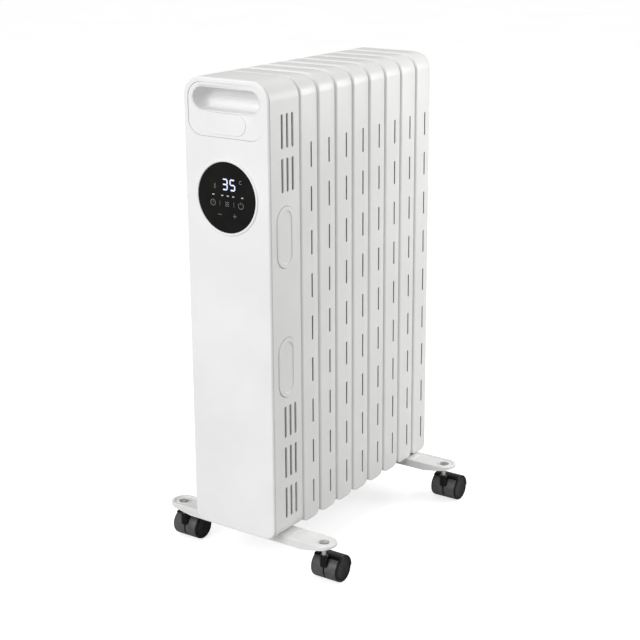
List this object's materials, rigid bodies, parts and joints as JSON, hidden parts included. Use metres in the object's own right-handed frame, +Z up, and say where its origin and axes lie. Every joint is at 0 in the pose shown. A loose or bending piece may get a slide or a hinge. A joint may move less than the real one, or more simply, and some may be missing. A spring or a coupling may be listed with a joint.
{
  "type": "oil filled radiator heater",
  "caption": "Upright oil filled radiator: control tower with a round touch display in front of folded, slotted fins, on two foot brackets with hooded swivel castors.",
  "frame": {"origin": "middle of the bounding box, on the floor", "axes": "+Z up, +Y from the control tower back to the last fin, +X to the right of someone facing the display"},
  "size_m": [0.268, 0.3754, 0.637],
  "materials": {
    "fascia_plastic": "warm white moulding, fine satin",
    "casing_plastic": "warm white moulding, satin",
    "badge": "plain pale badge, no mark",
    "bezel": "white ring, the same moulding as the fascia",
    "display_glass": "gloss black touch display",
    "fin_paint": "white powder coat",
    "bracket_paint": "white powder coat",
    "zinc_steel": "zinc plated",
    "element_sheath": "bright steel sheath",
    "gasket_fibre": "matt fibre",
    "circuit_board": "green board",
    "dark_plastic": "black moulding",
    "castor_hood": "gloss black nylon",
    "castor_wheel": "dark grey nylon tread"
  },
  "bodies": {
    "heater_body": {"front_fascia": "fascia_plastic", "handle_insert": "fascia_plastic", "badge_plate": "badge", "display_bezel": "bezel", "display_lens": "display_glass", "display_board": "circuit_board", "led_display_module": "dark_plastic", "fascia_screws": "zinc_steel", "control_casing": "casing_plastic", "right_side_caps": "casing_plastic", "left_side_caps": "casing_plastic", "heat_shield": "zinc_steel", "tower_studs": "zinc_steel", "tower_nuts": "zinc_steel", "power_board": "circuit_board", "board_posts": "dark_plastic", "thermal_cutout": "dark_plastic", "terminal_block": "dark_plastic", "tip_over_switch": "dark_plastic", "room_sensor": "dark_plastic", "cable_gland": "dark_plastic", "gland_nut": "dark_plastic", "header_bushes_lower": "fin_paint", "header_bushes_upper": "fin_paint", "header_end_caps": "fin_paint", "rear_panel": "fin_paint", "filler_plug": "zinc_steel", "heating_element": "element_sheath", "element_flange": "element_sheath", "element_gasket": "gasket_fibre", "front_foot_bracket": "bracket_paint", "rear_foot_bracket": "bracket_paint", "front_bracket_bolts": "zinc_steel", "rear_u_bolt": "zinc_steel", "bracket_wing_nuts": "zinc_steel", "castor_stems": "zinc_steel", "castor_nuts": "zinc_steel", "fin_1": "fin_paint", "fin_2": "fin_paint", "fin_3": "fin_paint", "fin_4": "fin_paint", "fin_5": "fin_paint", "fin_6": "fin_paint", "fin_7": "fin_paint", "fin_8": "fin_paint"},
    "front_left_castor": {"castor_front_left_hood": "castor_hood"},
    "front_left_wheel_set": {"castor_front_left_axle": "zinc_steel", "castor_front_left_wheels": "castor_wheel"},
    "front_right_castor": {"castor_front_right_hood": "castor_hood"},
    "front_right_wheel_set": {"castor_front_right_axle": "zinc_steel", "castor_front_right_wheels": "castor_wheel"},
    "rear_left_castor": {"castor_rear_left_hood": "castor_hood"},
    "rear_left_wheel_set": {"castor_rear_left_axle": "zinc_steel", "castor_rear_left_wheels": "castor_wheel"},
    "rear_right_castor": {"castor_rear_right_hood": "castor_hood"},
    "rear_right_wheel_set": {"castor_rear_right_axle": "zinc_steel", "castor_rear_right_wheels": "castor_wheel"}
  },
  "joints": [
    {"name": "front_left_swivel", "type": "hinge", "parent": "heater_body", "child": "front_left_castor", "pos_m": [-0.114, -0.1497, 0.036], "axis": [0, 0, 1], "continuous": true},
    {"name": "front_left_wheel_spin", "type": "hinge", "parent": "front_left_castor", "child": "front_left_wheel_set", "pos_m": [-0.114, -0.1347, 0.017], "axis": [1, 0, 0], "continuous": true},
    {"name": "front_right_swivel", "type": "hinge", "parent": "heater_body", "child": "front_right_castor", "pos_m": [0.114, -0.1497, 0.036], "axis": [0, 0, 1], "continuous": true},
    {"name": "front_right_wheel_spin", "type": "hinge", "parent": "front_right_castor", "child": "front_right_wheel_set", "pos_m": [0.114, -0.1347, 0.017], "axis": [1, 0, 0], "continuous": true},
    {"name": "rear_left_swivel", "type": "hinge", "parent": "heater_body", "child": "rear_left_castor", "pos_m": [-0.114, 0.1528, 0.036], "axis": [0, 0, 1], "continuous": true},
    {"name": "rear_left_wheel_spin", "type": "hinge", "parent": "rear_left_castor", "child": "rear_left_wheel_set", "pos_m": [-0.114, 0.1678, 0.017], "axis": [1, 0, 0], "continuous": true},
    {"name": "rear_right_swivel", "type": "hinge", "parent": "heater_body", "child": "rear_right_castor", "pos_m": [0.114, 0.1528, 0.036], "axis": [0, 0, 1], "continuous": true},
    {"name": "rear_right_wheel_spin", "type": "hinge", "parent": "rear_right_castor", "child": "rear_right_wheel_set", "pos_m": [0.114, 0.1678, 0.017], "axis": [1, 0, 0], "continuous": true}
  ]
}
